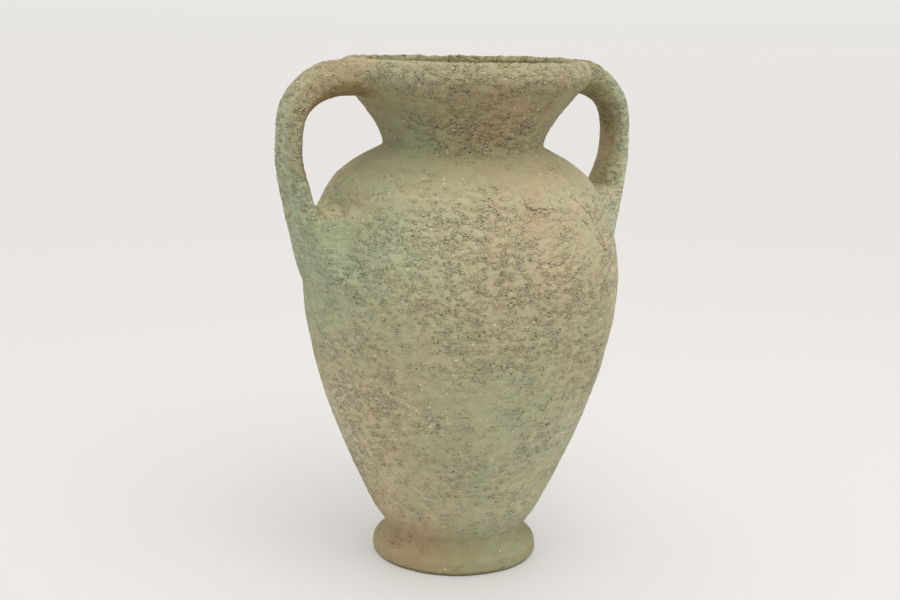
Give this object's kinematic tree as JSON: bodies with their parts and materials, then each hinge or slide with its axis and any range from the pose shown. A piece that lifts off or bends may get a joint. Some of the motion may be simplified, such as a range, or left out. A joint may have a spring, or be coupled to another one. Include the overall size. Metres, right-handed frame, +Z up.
{
  "type": "amphora",
  "caption": "Tall pottery amphora with a spreading foot, swelling belly, flared neck, rolled lip and strap handles, in a gritty sage and tan coat.",
  "frame": {"origin": "centre of the foot's resting face, on the vessel's axis", "axes": "+Z up the vessel's axis; +X from the axis towards the right handle, -X towards the left handle; +Y to the back"},
  "size_m": [0.3782, 0.3012, 0.48],
  "materials": {
    "foot_coat": "matt sanded coat, smoothed",
    "body_coat": "matt gritty coat, sage green and tan",
    "neck_coat": "matt gritty coat, olive tan",
    "lip_coat": "matt gritty coat, tan",
    "handle_coat": "matt gritty coat, sage green"
  },
  "bodies": {
    "root": {"foot": "foot_coat", "lower_body": "body_coat", "shoulder": "body_coat", "neck": "neck_coat", "lip": "lip_coat", "handle_left": "handle_coat", "handle_right": "handle_coat"}
  },
  "joints": []
}
